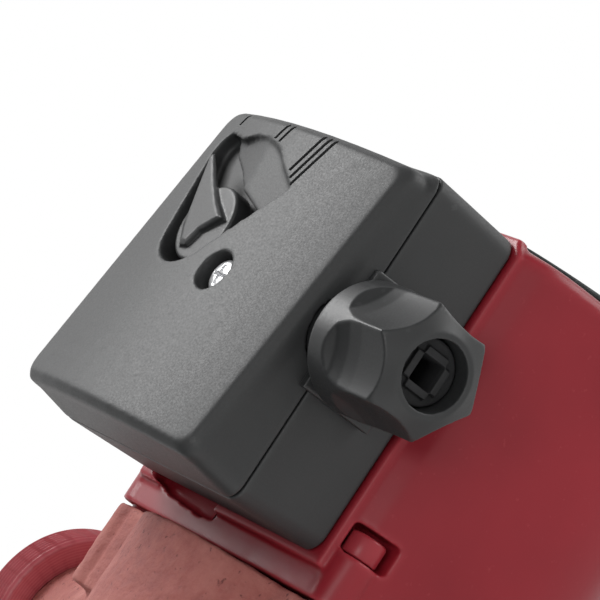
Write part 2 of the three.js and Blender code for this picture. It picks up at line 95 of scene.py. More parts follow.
GLAND_REACH = 73.9
NUT_CORNER_RADIUS = 13.6
NUT_FRONT = 70.5
NUT_FIRST_CORNER = -115  # degrees
NUT_CORNERS = 6
FLUTE_OFFSET = 19.2  # from a corner of the nut out to the axis of a flute
FAR = 90  # beyond the object on any side

AXES = {
    "motor": Vector((0, -1, 0)),
    "up": Vector((0, 0, 1)),
    "down": Vector((0, 0, -1)),
    "front": Vector((-1, 0, 0)),
}
ON_AXIS = (0, 0, 0)
AT_COVER_SCREW = (0, -COVER_SCREW_REACH, COVER_SCREW_Z)
AT_GLAND = (GLAND_X, -GLAND_REACH, 0)
AT_WIRE_HOLE = (0, -60, 0)
EARS = [(sx * SCREW_X, sz * SCREW_Z) for sx, sz in ((-1, -1), (-1, 1), (1, 1), (1, -1))]
FIXINGS = [(60, 30), (98, -30), (62, -20)]


# ---- Camera ----
LENS_MM = 235.2
CAMERA_AT = Vector((-0.4528, 0.0164, -0.6833))
LOOK = Vector((0.5042, -0.1203, 0.8552))
IMAGE_DOWN = Vector((0.53, 0.83, -0.19))


def make_camera():
    data = bpy.data.cameras.new("camera")
    data.lens = LENS_MM
    data.sensor_width = 36
    camera = bpy.data.objects.new("camera", data)
    bpy.context.collection.objects.link(camera)
    camera.matrix_world = Matrix.Translation(CAMERA_AT) @ facing(LOOK, -IMAGE_DOWN)
    bpy.context.scene.camera = camera


def facing(direction, upwards):
    """A turn that points -Z along direction and +Y as near as it can to upwards."""
    back = -direction.normalized()
    up = (upwards - upwards.dot(back) * back).normalized()
    return Matrix((up.cross(back), up, back)).transposed().to_4x4()


# ---- Mesh helpers ----
def mesh_piece(name, points, faces):
    data = bpy.data.meshes.new(name)
    data.from_pydata([Vector(point) * MM for point in points], [], faces)
    bm = bmesh.new()
    bm.from_mesh(data)
    bmesh.ops.remove_doubles(bm, verts=bm.verts, dist=0.002 * MM)
    bmesh.ops.recalc_face_normals(bm, faces=bm.faces)
    bm.to_mesh(data)
    bm.free()
    piece = bpy.data.objects.new(name, data)
    bpy.context.collection.objects.link(piece)
    return piece


def loft(name, rings, closed=False):
    """A skin over rings of equal point counts; the ends are capped, or join up when closed."""
    count = len(rings[0])
    points = [point for ring in rings for point in ring]
    faces = []
    pairs = len(rings) if closed else len(rings) - 1
    for k in range(pairs):
        start, above = k * count, (k + 1) % len(rings) * count
        for i in range(count):
            j = (i + 1) % count
            faces.append((start + i, start + j, above + j, above + i))
    if not closed:
        faces.append(tuple(range(count)))
        faces.append(tuple(range(len(points) - count, len(points))))
    return mesh_piece(name, points, faces)


def lathe(name, axis, centre, profile, sides=96):
    """A turned body about an axis through centre; profile holds (radius, distance along the axis)."""
    direction = AXES[axis]
    first = Vector((0, 0, 1)) if abs(direction.z) < 0.5 else Vector((1, 0, 0))
    second = direction.cross(first)
    middle = Vector(centre)
    rings = []
    for radius, height in profile:
        ring = []
        for i in range(sides):
            angle = math.tau * i / sides
            out = first * math.cos(angle) + second * math.sin(angle)
            ring.append(tuple(middle + direction * height + out * radius))
        rings.append(ring)
    return loft(name, rings, closed=profile[0][0] > 0)


def bar(name, axis, centre, radius, low, high, sides=48):
    return lathe(name, axis, centre, [(0, low), (radius, low), (radius, high), (0, high)], sides)


def tube(name, axis, centre, inner, outer, low, high):
    return lathe(name, axis, centre, [(inner, low), (outer, low), (outer, high), (inner, high)])


def block(name, low, high):
    x0, y0, z0 = low
    x1, y1, z1 = high
    ring = [(x0, y0), (x1, y0), (x1, y1), (x0, y1)]
    return loft(name, [[(x, y, z0) for x, y in ring], [(x, y, z1) for x, y in ring]])


def on_surface(outline, x):
    """A (reach, z) outline laid on an X surface, which is a number or a function of reach and z."""
    return [(x(reach, z) if callable(x) else x, -reach, z) for reach, z in outline]


def panel(name, outline, x_low, x_high):
    """A (reach, z) outline between two X surfaces."""
    return loft(name, [on_surface(outline, x) for x in (x_low, x_high)])


def dished(name, outline, middle, low, floor):
    """A plug whose far end follows a floor surface; its outline shrinks towards the middle in steps."""
    mid_reach, mid_z = middle
    rings = [on_surface(outline, low)]
    for scale in (1, 0.85, 0.7, 0.55, 0.4, 0.2, 0.03):
        scaled = [
            (mid_reach + (reach - mid_reach) * scale, mid_z + (z - mid_z) * scale) for reach, z in outline
        ]
        rings.append(on_surface(scaled, floor))
    return loft(name, rings)


def settle(piece):
    """Applies the piece's modifiers."""
    graph = bpy.context.evaluated_depsgraph_get()
    made = bpy.data.meshes.new_from_object(piece.evaluated_get(graph))
    piece.modifiers.clear()
    piece.data = made


def combine(piece, operation, others):
    for other in others:
        step = piece.modifiers.new("combine", "BOOLEAN")
        step.operation = operation
        step.solver = "MANIFOLD"
        step.object = other
    settle(piece)
    for other in others:
        bpy.data.objects.remove(other)


def join(piece, others):
    combine(piece, "UNION", others)


def cut(piece, others):
    combine(piece, "DIFFERENCE", others)


def soften(piece, voxel, rounds):
    """Remeshes a piece to an even skin and rounds its edges, as moulding or casting does."""
    skin = piece.modifiers.new("skin", "REMESH")
    skin.mode = "VOXEL"
    skin.voxel_size = voxel * MM
    smooth = piece.modifiers.new("smooth", "SMOOTH")
    smooth.factor = 0.5
    smooth.iterations = rounds
    settle(piece)
    piece.data.shade_smooth()


def crisp(piece, width):
    """Small bevels on a turned or plain piece."""
    bevel = piece.modifiers.new("bevel", "BEVEL")
    bevel.width = width * MM
    bevel.segments = 2
    bevel.limit_method = "ANGLE"
    bevel.angle_limit = math.radians(35)
    bevel.harden_normals = True
    settle(piece)
    piece.data.shade_smooth()


def place(piece, body, slot, material, *nodes):
    piece.data.materials.clear()
    piece.data.materials.append(material)
    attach(piece, body)
    if nodes:
        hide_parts(*nodes)


# ---- Materials ----
class Nodes:
    """A material's node tree with short calls for adding and linking."""

    def __init__(self, name):
        self.material = bpy.data.materials.new(name)
        self.material.use_nodes = True
        self.tree = self.material.node_tree
        self.shader = self.tree.nodes["Principled BSDF"]
        self.place = self.add("ShaderNodeTexCoord").outputs["Object"]

    def add(self, kind, **settings):
        node = self.tree.nodes.new(kind)
        for key, value in settings.items():
            setattr(node, key, value)
        return node

    def link(self, source, target):
        self.tree.links.new(source, target)

    def noise(self, scale, detail=4.0, roughness=0.6):
        """Noise whose scale is in features per metre."""
        node = self.add("ShaderNodeTexNoise")
        self.link(self.place, node.inputs["Vector"])
        node.inputs["Scale"].default_value = scale
        node.inputs["Detail"].default_value = detail
        node.inputs["Roughness"].default_value = roughness
        return node.outputs["Fac"]

    def ramp(self, source, stops):
        node = self.add("ShaderNodeValToRGB")
        self.link(source, node.inputs["Fac"])
        ramp = node.color_ramp
        while len(ramp.elements) < len(stops):
            ramp.elements.new(0.5)
        for element, (position, colour) in zip(ramp.elements, stops):
            element.position = position
            element.color = (*colour, 1)
        return node.outputs["Color"]

    def mapped(self, source, low, high, from_low=0.3, from_high=0.7):
        node = self.add("ShaderNodeMapRange")
        self.link(source, node.inputs["Value"])
        node.inputs["From Min"].default_value = from_low
        node.inputs["From Max"].default_value = from_high
        node.inputs["To Min"].default_value = low
        node.inputs["To Max"].default_value = high
        return node.outputs["Result"]

    def blend(self, factor, first, second):
        """Mixes two colours, each an output or a plain colour."""
        node = self.add("ShaderNodeMix", data_type="RGBA")
        self.link(factor, node.inputs["Factor"])
        colour_a, colour_b = node.inputs[6], node.inputs[7]
        for value, socket in ((first, colour_a), (second, colour_b)):
            if isinstance(value, tuple):
                socket.default_value = (*value, 1)
            else:
                self.link(value, socket)
        return node.outputs[2]

    def bump(self, heights):
        """Chains bumps; each is (height output, distance in millimetres, strength)."""
        normal = None
        for height, distance, strength in heights:
            node = self.add("ShaderNodeBump")
            self.link(height, node.inputs["Height"])
            node.inputs["Distance"].default_value = distance * MM
            node.inputs["Strength"].default_value = strength
            if normal:
                self.link(normal, node.inputs["Normal"])
            normal = node.outputs["Normal"]
        self.link(normal, self.shader.inputs["Normal"])

    def stripes(self, axis, per_metre, distortion=0.0, rings=False):
        node = self.add("ShaderNodeTexWave", wave_type="RINGS" if rings else "BANDS")
        setattr(node, "rings_direction" if rings else "bands_direction", axis)
        self.link(self.place, node.inputs["Vector"])
        node.inputs["Scale"].default_value = per_metre
        node.inputs["Distortion"].default_value = distortion
        node.inputs["Detail"].default_value = 1
        return node.outputs["Fac"]

    def worn_and_highlit_edges(self):
        """Rises to 1 along a mesh's outer edges, where wear and a painted edge highlight are laid."""
        pointed = self.add("ShaderNodeNewGeometry").outputs["Pointiness"]
        return self.mapped(pointed, 0, 1, 0.5, 0.56)

    def set(self, **values):
        for key, value in values.items():
            self.shader.inputs[key.replace("_", " ")].default_value = value


def plastic(name, dark, light, roughness):
    """Moulded plastic with a fine spark-eroded grain."""
    n = Nodes(name)
    cloud = n.noise(35, 3)
    fine = n.noise(2400, 3)
    base = n.ramp(cloud, [(0.3, dark), (0.7, light)])
    speck = n.mapped(n.noise(3200, 2), 0, 0.25, 0.5, 0.75)
    # Outer edges get a lighter colour: partly wear, partly a painted highlight.
    worn_edge_highlight = tuple(channel * 1.3 for channel in light)
    flecked = n.blend(speck, base, tuple(channel * 1.5 for channel in light))
    n.link(n.blend(n.worn_and_highlit_edges(), flecked, worn_edge_highlight), n.shader.inputs["Base Color"])
    n.link(n.mapped(fine, roughness - 0.06, roughness + 0.08), n.shader.inputs["Roughness"])
    n.bump([(n.noise(5000, 2), 0.02, 0.3), (fine, 0.02, 0.25)])
    n.set(Specular_IOR_Level=0.5)
    return n.material


def red_enamel():
    """Satin stoving enamel: slight orange peel, dust specks, and lighter edges for thinner paint there and a
    painted highlight.
    """
    n = Nodes("red_enamel")
    cloud = n.noise(22, 3)
    base = n.ramp(cloud, [(0.3, (0.27, 0.012, 0.022)), (0.7, (0.34, 0.018, 0.03))])
    speck = n.mapped(n.noise(700, 2), 0, 0.5, 0.66, 0.8)
    dusted = n.blend(speck, base, (0.42, 0.05, 0.06))
    # Lighter outer edges: thinner paint, and a painted highlight as well.
    n.link(n.blend(n.worn_and_highlit_edges(), dusted, (0.44, 0.05, 0.065)), n.shader.inputs["Base Color"])
    n.link(n.mapped(n.noise(120, 4), 0.3, 0.44), n.shader.inputs["Roughness"])
    n.bump([(n.noise(260, 2), 0.05, 0.12), (n.noise(1400, 2), 0.02, 0.15)])
    n.set(Coat_Weight=0.12, Coat_Roughness=0.25, Specular_IOR_Level=0.32)
    return n.material


def cast_paint():
    """Rough sand casting under thin matt red primer, with painted shade in its pits."""
    n = Nodes("cast_paint")
    grain = n.noise(420, 6, 0.7)
    cloud = n.noise(60, 5, 0.65)
    base = n.ramp(cloud, [
        (0.32, (0.25, 0.05, 0.045)), (0.5, (0.4, 0.1, 0.085)), (0.68, (0.55, 0.19, 0.16)),
    ])
    # Painted shade: the low spots of the pitted bump are coloured near black.
    pit_shade = n.mapped(n.noise(620, 3, 0.5), 0.8, 0, 0.27, 0.36)
    grained = n.blend(n.mapped(grain, 0, 0.6), base, (0.52, 0.2, 0.17))
    n.link(n.blend(pit_shade, grained, (0.13, 0.025, 0.025)), n.shader.inputs["Base Color"])
    n.link(n.mapped(grain, 0.6, 0.82), n.shader.inputs["Roughness"])
    n.bump([(grain, 0.6, 0.8), (n.noise(1500, 3), 0.12, 0.5), (n.noise(620, 3, 0.5), 0.4, 0.5)])
    return n.material


def turned_paint():
    """Machined collar under the same red paint, with turning lines showing through."""
    n = Nodes("turned_paint")
    lines = n.stripes("Z", 480, 0.6, rings=True)
    cloud = n.noise(60, 3)
    base = n.ramp(cloud, [(0.3, (0.42, 0.06, 0.08)), (0.7, (0.52, 0.10, 0.12))])
    lined = n.blend(n.mapped(lines, 0, 0.3, 0.2, 0.8), base, (0.6, 0.2, 0.2))
    n.link(lined, n.shader.inputs["Base Color"])
    n.link(n.mapped(n.noise(300, 3), 0.32, 0.5), n.shader.inputs["Roughness"])
    n.bump([(lines, 0.06, 0.4), (n.noise(900, 3), 0.03, 0.3)])
    return n.material


def grained(name, dark, light, metallic, roughness, scale, stripes=None):
    """A plain finish with its own grain: colour clouds, uneven gloss and a fine bump, and stripes if any."""
    n = Nodes(name)
    cloud = n.noise(scale / 12, 3)
    fine = n.noise(scale, 4)
    colour = n.ramp(cloud, [(0.3, dark), (0.7, light)])
    heights = [(fine, 0.03, 0.35)]
    if stripes:
        axis, per_metre, depth, rings = stripes
        lines = n.stripes(axis, per_metre, 0.4, rings)
        between = tuple(channel * 0.45 for channel in dark)
        colour = n.blend(n.mapped(lines, 0, 0.5, 0, 1), colour, between)
        heights.append((lines, depth, 0.6))
    n.link(colour, n.shader.inputs["Base Color"])
    n.link(n.mapped(fine, max(0.05, roughness - 0.08), roughness + 0.08), n.shader.inputs["Roughness"])
    n.bump(heights)
    n.set(Metallic=metallic)
    return n.material


BOX_PLASTIC = plastic("box_plastic", (0.034, 0.035, 0.036), (0.041, 0.042, 0.043), 0.5)
KNOB_PLASTIC = plastic("knob_plastic", (0.027, 0.028, 0.029), (0.034, 0.035, 0.036), 0.42)
NUT_PLASTIC = plastic("nut_plastic", (0.026, 0.027, 0.028), (0.032, 0.033, 0.034), 0.4)
RED_ENAMEL = red_enamel()
CAST_PAINT = cast_paint()
TURNED_PAINT = turned_paint()

# By slot: name, dark and light colour, metallic, roughness, grain per metre, and stripes as (axis, per metre,
# depth, whether they are rings).
GRAINED_FINISHES = {
    "zinc": ("bright_zinc", (0.8, 0.81, 0.83), (0.92, 0.92, 0.93), 0.6, 0.34, 900),
    "brass": ("turned_brass", (0.5, 0.33, 0.12), (0.7, 0.5, 0.22), 1.0, 0.3, 900, ("Y", 700, 0.02, True)),
    "rubber": ("black_rubber", (0.012, 0.012, 0.013), (0.024, 0.024, 0.026), 0.0, 0.68, 1100),
    "dark_plate": (
        "dark_plate", (0.03, 0.034, 0.034), (0.05, 0.056, 0.055), 0.6, 0.4, 800, ("Z", 900, 0.01, False),
    ),
    "stainless": (
        "drawn_steel", (0.42, 0.43, 0.44), (0.6, 0.61, 0.62), 1.0, 0.28, 700, ("Y", 500, 0.02, False),
    ),
    "carbon": ("ground_carbon", (0.018, 0.018, 0.02), (0.04, 0.04, 0.044), 0.1, 0.45, 1600),
    "ceramic": ("ground_ceramic", (0.72, 0.69, 0.6), (0.85, 0.83, 0.77), 0.0, 0.18, 600),
    "composite": ("fibre_composite", (0.42, 0.37, 0.25), (0.58, 0.53, 0.4), 0.0, 0.55, 900),
    "lamination": (
        "laminations", (0.16, 0.17, 0.19), (0.27, 0.28, 0.3), 0.9, 0.45, 700, ("Y", 320, 0.12, False),
    ),
    "copper": (
        "wound_copper", (0.42, 0.13, 0.04), (0.62, 0.25, 0.09), 0.9, 0.32, 500, ("Y", 260, 0.3, True),
    ),
    "white_plastic": ("white_plastic", (0.62, 0.61, 0.56), (0.74, 0.73, 0.69), 0.0, 0.42, 1200),
    "capacitor_case": ("capacitor_case", (0.04, 0.045, 0.06), (0.065, 0.07, 0.09), 0.0, 0.4, 1200),
}
FINISHES = {slot: grained(*values) for slot, values in GRAINED_FINISHES.items()}


# ---- Terminal box ----
def front_x(reach, z):
    """The cover's front face: higher at the volute end and crowned between its long edges."""
    slope = (COVER_HIGH_X - COVER_LOW_X) / (BOX_FAR - BOX_NEAR)
    rise = CROWN * max(0.0, 1 - (z / BOX_HALF_WIDTH) ** 2)
    return COVER_LOW_X + slope * (BOX_FAR - reach) - rise


def under_face(depth):
    """The surface at a depth behind the cover's front face."""
    return lambda reach, z: front_x(reach, z) + depth


def box_ring(grow, corner, x):
    """A rounded rectangle round the terminal box, laid on an X surface.

    It has extra points along its straight sides, so that it can follow the crown.
    """
    steps, along = 10, 8  # points round a corner and along a side
    near, far, half = BOX_NEAR - grow, BOX_FAR + grow, BOX_HALF_WIDTH + grow
    outline = []
    corners = ((near, -half, 180), (far, -half, 270), (far, half, 0), (near, half, 90))
    for reach, z, start in corners:
        centre_reach = reach + (corner if reach == near else -corner)
        centre_z = z + (corner if z < 0 else -corner)
        for i in range(steps + 1):
            angle = math.radians(start + 90 * i / steps)
            outline.append((centre_reach + corner * math.cos(angle), centre_z + corner * math.sin(angle)))
    ring = []
    for i, (reach, z) in enumerate(outline):
        ring.append((reach, z))
        if (i + 1) % (steps + 1) == 0:
            next_reach, next_z = outline[(i + 1) % len(outline)]
            for k in range(1, along):
                t = k / along
                ring.append((reach + (next_reach - reach) * t, z + (next_z - z) * t))
    return on_surface(ring, x)


def knob_outline(points):
    """Points given along and across the pointer, as (reach, z)."""
    c, s = math.cos(KNOB_POINTING), math.sin(KNOB_POINTING)
    return [(KNOB_REACH + u * c - v * s, KNOB_Z + u * s + v * c) for u, v in points]


# Arcs about the knob: centre (reach, z), radius, start angle, end angle and steps.
HEEL_ARC = (0, 0, 11, 122, 241, 12)
TIP_ARC = (16.6, 14, 4.6, 24, 122, 10)
RECESS_ARCS = (HEEL_ARC, (12.4, -20.4, 1, 241, 320, 4), (0, 0, 21.7, -38, 24, 24), TIP_ARC)
WELL_ARCS = (
    HEEL_ARC, (4.9, -16.4, 0.4, 250, 350, 4), (10.2, -4, 0.8, 180, 150, 2), (12.6, 3, 0.8, -30, 0, 2),
    (15.7, 10.4, 0.8, -20, -10, 2), TIP_ARC,
)


def arcs_outline(arcs, grow=0.0):
    outline = []
    for reach, z, radius, start, end, steps in arcs:
        for i in range(steps + 1):
            angle = math.radians(start + (end - start) * i / steps)
            out = (radius + grow) * math.cos(angle)
            across = (radius + grow) * math.sin(angle)
            outline.append((KNOB_REACH + reach + out, KNOB_Z + z + across))
    return outline


def dish_x(reach, z):
    """The recess floor, rising towards speed III but always clear of the pointer."""
    slope_way = math.radians(35)
    along = (reach - KNOB_REACH) * math.cos(slope_way) - (z - KNOB_Z) * math.sin(slope_way)
    rise = min(1.0, max(0.0, (along - 8) / 13.7))
    return max(front_x(reach, z) + 2.4 - 2.15 * rise, POINTER_FOOT_X + POINTER_CLEARANCE)


def cover_skin(split):
    """The cover's outer shape: a drafted skirt, a rounded edge and the crowned face."""
    edge = [(-0.55, 5), (-0.62, 3.4), (-0.72, 2.3), (-0.95, 1.5), (-2.1, 0.25), (-2.7, 0.03)]
    rings = [box_ring(BOX_DRAFT, CORNER, split)]
    rings += [box_ring(grow, 3.6, under_face(depth)) for grow, depth in edge]
    for inset in (4, 8, 13, 18, 23, 28, 33, 36):
        rings.append(box_ring(-inset, max(0.6, 3.4 - inset / 10), front_x))
    return loft("terminal_box_cover_shell", rings)


def cover_inside(split):
    rings = [box_ring(BOX_DRAFT - WALL, INNER_CORNER, split + 4)]
    rings.append(box_ring(-0.6 - WALL, INNER_CORNER, under_face(3.9)))
    rings += [box_ring(-inset, INNER_CORNER, under_face(2.6)) for inset in (6, 12, 19, 27, 34)]
    return loft("inside", rings)


def gland_hole():
    return bar("gland_hole", "down", AT_GLAND, GLAND_HOLE_RADIUS, 20, 60)


def make_cover():
    split = SPLIT_X - 0.2
    floor_wall = 1.8
    roof = under_face(0.9)
    outer = cover_skin(split)
    cut(outer, [cover_inside(split)])
    join(outer, [
        panel("pocket", arcs_outline(RECESS_ARCS, floor_wall), roof, WELL_X + floor_wall),
        panel("post", circle_outline(COVER_SCREW_REACH, COVER_SCREW_Z, 6.4), roof, split),
    ])
    cut(outer, [
        dished("recess", arcs_outline(RECESS_ARCS), (KNOB_REACH, KNOB_Z), -FAR, dish_x),
        panel("well", arcs_outline(WELL_ARCS), roof, WELL_X),
        bar("spindle_hole", "front", (0, -KNOB_REACH, KNOB_Z), 4.2, 50, FAR),
        bar("counterbore", "front", AT_COVER_SCREW, 4.6, -COVER_SCREW_SEAT, FAR),
        bar("screw_hole", "front", AT_COVER_SCREW, DRIVER_HOLE_RADIUS, 50, FAR),
        gland_hole(),
    ])
    soften(outer, 0.42, 5)
    cut(outer, speed_marks())
    outer.data.shade_smooth()
    outer.data.set_sharp_from_angle(angle=math.radians(50))
    place(outer, "cover", "box_plastic", BOX_PLASTIC, "terminal_box_cover")


def circle_outline(reach, z, radius):
    steps = 48
    return [
        (reach + radius * math.cos(math.tau * i / steps), z + radius * math.sin(math.tau * i / steps))
        for i in range(steps)
    ]


# The speed marks: for each bar its middle across, where it starts and where it ends, about the knob.
MARK_SLANT = -0.27
MARK_WIDTH = 1.05
MARK_DEPTH = 0.7
MARK_BARS = [
    (15.8, 23.0, 26.3), (-4.2, 21.9, 26.7), (-6.5, 21.5, 26.7),
    (-17.6, 16.3, 26.9), (-19.4, 14.8, 26.9), (-21.1, 13.4, 27),
]


def speed_marks():
    bars = []
    for z, start, end in MARK_BARS:
        half = MARK_WIDTH / 2
        far_z = z + MARK_SLANT * (end - start)
        outline = [(start, z - half), (end, far_z - half), (end, far_z + half), (start, z + half)]
        placed = [(KNOB_REACH + reach, KNOB_Z + across) for reach, across in outline]
        bars.append(panel("mark", placed, -FAR, under_face(MARK_DEPTH)))
    return bars


def fixing_holes():
    return [bar("fixing_hole", "front", (0, -reach, z), 2, 30, 45) for reach, z in FIXINGS]


def make_box_base():
    floor_x = SEAT_X - 0.3
    split = SPLIT_X + 0.1
    half_way = (floor_x + split) / 2
    levels = [(-0.5, floor_x), (0, floor_x - 0.6), (BOX_DRAFT / 2, half_way), (BOX_DRAFT, split)]
    base = loft("terminal_box_tray", [box_ring(grow, CORNER, x) for grow, x in levels])
    inner = loft("inside", [
        box_ring(-WALL, INNER_CORNER, floor_x - WALL),
        box_ring(BOX_DRAFT - WALL, INNER_CORNER, split - 4),
    ])
    cut(base, [inner])
    join(base, [bar("boss", "front", AT_COVER_SCREW, 3.6, -floor_x + 1, -split)])
    cut(base, [
        bar("driver_hole", "front", AT_COVER_SCREW, DRIVER_HOLE_RADIUS, 44, 70),
        bar("wire_hole", "front", AT_WIRE_HOLE, 6.6, 30, 45),
        *fixing_holes(),
        gland_hole(),
    ])
    soften(base, 0.45, 2)
    place(base, "pump", "box_plastic", BOX_PLASTIC, "terminal_box_base")


# ---- Speed selector ----
POINTER_SIDE = [
    (20.2, 0.4), (11, -1.6), (3.3, -3.8), (-2.9, -6.3), (-2.5, 0.6), (-4.3, 4.3), (-2.8, 6.5), (3.2, 6.3),
    (13.9, 3.6), (19.8, 2),
]
POINTER_TOP = [
    (19.9, 0.9), (11, -0.9), (3.6, -3.0), (-2.0, -5.2), (-1.5, 0.8), (-3.0, 4.2), (-1.9, 5.5), (3.4, 5.2),
    (13.6, 3.0), (19.5, 1.6),
]


def pointer_ring(points, lower):
    """An outline laid on the pointer's top, which slopes down to the tip, or lower than it."""
    ring = []
    for (u, v), (reach, z) in zip(points, knob_outline(points)):
        ring.append((DISC_TOP - 1.15 + 0.06 * u + 0.04 * v + lower, -reach, z))
    return ring


def make_knob():
    top = -DISC_TOP
    under = top - 4.5
    round_off = 0.4
    disc = lathe("speed_pointer", "front", (0, -KNOB_REACH, KNOB_Z), [
        (0, 50), (2.6, 50), (2.6, 62), (3.8, 62), (3.8, under), (KNOB_RADIUS, under),
        (KNOB_RADIUS, top - round_off), (KNOB_RADIUS - round_off, top), (0, top),
    ])
    join(disc, [loft("pointer", [
        on_surface(knob_outline(POINTER_SIDE), POINTER_FOOT_X),
        pointer_ring(POINTER_SIDE, 0.45),
        pointer_ring(POINTER_TOP, 0),
    ])])
    soften(disc, 0.26, 3)
    place(disc, "selector", "knob_plastic", KNOB_PLASTIC, "speed_knob")


def make_cover_screw():
    seat = -COVER_SCREW_SEAT + 0.2
    screw = lathe("cover_cross_screw", "front", AT_COVER_SCREW, [
        (0, 46), (1.5, 46), (1.5, seat), (4, seat), (4, seat + 1.7), (3.7, seat + 2.4), (2.9, seat + 2.9),
        (1.5, seat + 3.15), (0, seat + 3.2),
    ])
    arms = []
    for dy, dz in ((4.6, 0.9), (0.9, 4.6)):
        low = (-seat - 4, -COVER_SCREW_REACH - dy / 2, COVER_SCREW_Z - dz / 2)
        high = (-seat - 1.1, -COVER_SCREW_REACH + dy / 2, COVER_SCREW_Z + dz / 2)
        arms.append(block("cross", low, high))
    cut(screw, arms)
    crisp(screw, 0.12)
    place(screw, "cover_fastener", "zinc", FINISHES["zinc"], "cover_screw")


# ---- Cable gland ----
def around_gland(name, front, back, motor, pipe, low, high):
    """A block between two heights that reaches from the gland's axis to the front, back, motor and pipe."""
    return block(
        name, (GLAND_X - front, -GLAND_REACH - motor, low), (GLAND_X + back, -GLAND_REACH + pipe, high),
    )


def make_gland_body():
    wall = -(BOX_HALF_WIDTH + BOX_DRAFT + 0.3)
    flange = around_gland("gland_collar", 5.2, 13, 14.2, 13, wall - 2.2, wall)
    neck = bar("neck", "down", AT_GLAND, 9, 30, 63)
    inner_flange = around_gland("inner", 5, 12, 12, 12, -33.6, -31.6)
    join(flange, [neck, inner_flange])
    cut(flange, [bar("bore", "down", AT_GLAND, 7.1, 20, 70)])
    soften(flange, 0.35, 2)
    place(flange, "pump", "box_plastic", NUT_PLASTIC, "gland_body")


def make_gland_seal():
    seal = bar("gland_insert", "down", AT_GLAND, 6.8, 50, 66.6)
    half = 2.8  # half of the square hole
    near, far = 2.9, 4.5  # a strip's two long edges, from the axis
    strips = [
        around_gland("strip", half, half, -near, far, -67.6, -66),
        around_gland("strip", half, half, far, -near, -67.6, -66),
        around_gland("strip", -near, far, half, half, -67.6, -66),
        around_gland("strip", far, -near, half, half, -67.6, -66),
    ]
    join(seal, strips)
    cut(seal, [around_gland("hole", half, half, half, half, -80, 0)])
    soften(seal, 0.22, 2)
    place(seal, "pump", "rubber", FINISHES["rubber"], "gland_seal")


def make_gland_nut():
    front = NUT_FRONT
    nut = lathe("fluted_nut", "down", AT_GLAND, [
        (0, 44), (12.4, 44), (NUT_CORNER_RADIUS, 45.4), (NUT_CORNER_RADIUS, front - 3.4), (12.6, front - 2.4),
        (9.6, front - 0.7), (8.4, front), (0, front),
    ], 144)
    flutes = []
    distance = NUT_CORNER_RADIUS + FLUTE_OFFSET
    for i in range(NUT_CORNERS):
        middle = math.radians(NUT_FIRST_CORNER + (i + 0.5) * 360 / NUT_CORNERS)
        centre = (GLAND_X + distance * math.cos(middle), -GLAND_REACH + distance * math.sin(middle), 0)
        flutes.append(lathe("flute", "down", centre, [
            (0, 49), (16.5, 49), (19, 50.5), (20.9, 52.8), (21.7, 56), (22, 60), (22, 80), (0, 80),
        ], 144))
    cut(nut, flutes)
    cut(nut, [bar("thread", "down", AT_GLAND, 9.3, 40, 63.3), bar("mouth", "down", AT_GLAND, 7.2, 60, 80)])
    soften(nut, 0.3, 4)
    place(nut, "gland_clamp", "box_plastic", NUT_PLASTIC, "gland_nut")


# ---- Motor housing ----
def housing_outline(shrink=0.0):
    """The shell's (x, z) section: flat by the box, flat flanks and a round far side, drawn in by shrink."""
    radius = MOTOR_RADIUS - shrink
    k = radius / MOTOR_RADIUS
    seat = SEAT_X + 1.2 + shrink
    edge = [(seat, (SEAT_HALF_WIDTH - 0.2) * k)]
    bend = ((-32.2, 42.1), (-29, 44.8), (-20, 45.3))
    for i in range(9):
        t = i / 8
        weights = ((1 - t) ** 2, 2 * t * (1 - t), t * t)
        edge.append(tuple(k * sum(w * point[axis] for w, point in zip(weights, bend)) for axis in (0, 1)))
    outline = [(x, -z) for x, z in edge]
    start = 84.6
    steps = 96
    for i in range(steps + 1):
        angle = math.radians(180 + start + (360 - 2 * start) * i / steps)
        outline.append((radius * math.cos(angle), radius * math.sin(angle)))
    return outline + edge[::-1]


def slab_loft(name, levels):
    """A loft of (x, z) outlines along the motor axis, each level being (reach, outline)."""
    return loft(name, [[(x, -reach, z) for x, z in outline] for reach, outline in levels])


def end_round(radius, outline_at):
    """Levels that round a body off at the motor end."""
    levels = []
    steps = 6
    for i in range(steps + 1):
        angle = math.radians(90 * i / steps)
        reach = MOTOR_END - radius * (1 - math.sin(angle))
        levels.append((reach, outline_at(radius * (1 - math.cos(angle)))))
    return levels


def chamfered(half_x, half_z, corner, low_x=None):
    """A rectangle about the motor axis with cut corners."""
    left = -half_x if low_x is None else low_x
    return [
        (left, -half_z + corner), (left + corner, -half_z),
        (half_x - corner, -half_z), (half_x, -half_z + corner),
        (half_x, half_z - corner), (half_x - corner, half_z),
        (left + corner, half_z), (left, half_z - corner),
    ]


def motor_seat():
    """The raised flat that the terminal box sits on, rounded off at the motor end."""
    half = SEAT_HALF_WIDTH
    start = BOX_NEAR - SEAT_MARGIN
    rounding = 2.6
    levels = [
        (start, half - 0.3), (start + 0.4, half), (MOTOR_END - rounding, half), (MOTOR_END, half - rounding),
    ]
    return slab_loft("seat", [(reach, chamfered(-20, half_z, 0.6, SEAT_X)) for reach, half_z in levels])


def motor_flange():
    """The square flange, the ring round it and the four ears with their webs."""
    flat_x = -35
    rim = tube("rim", "motor", ON_AXIS, 30, 49, JOINT_REACH, EAR_REACH - 2.4)
    cut(rim, [block("flat_side", (-60, -60, -60), (flat_x, -JOINT_REACH + 1, 60))])
    square = slab_loft("flange", [
        (JOINT_REACH, chamfered(35, 38, 4)),
        (EAR_REACH - 5, chamfered(35, 38, 4)),
        (EAR_REACH - 4, chamfered(34, 37, 4)),
    ])
    parts = [rim, square]
    parts += [bar("ear", "motor", (x, 0, z), EAR_RADIUS, JOINT_REACH, EAR_REACH) for x, z in EARS]
    for x, z in EARS:
        low_x, high_x = sorted((x, x * 0.2))
        low_z, high_z = sorted((z, z * 0.8))
        parts.append(block("web", (low_x, -EAR_REACH + 0.9, low_z), (high_x, -JOINT_REACH, high_z)))
    return parts


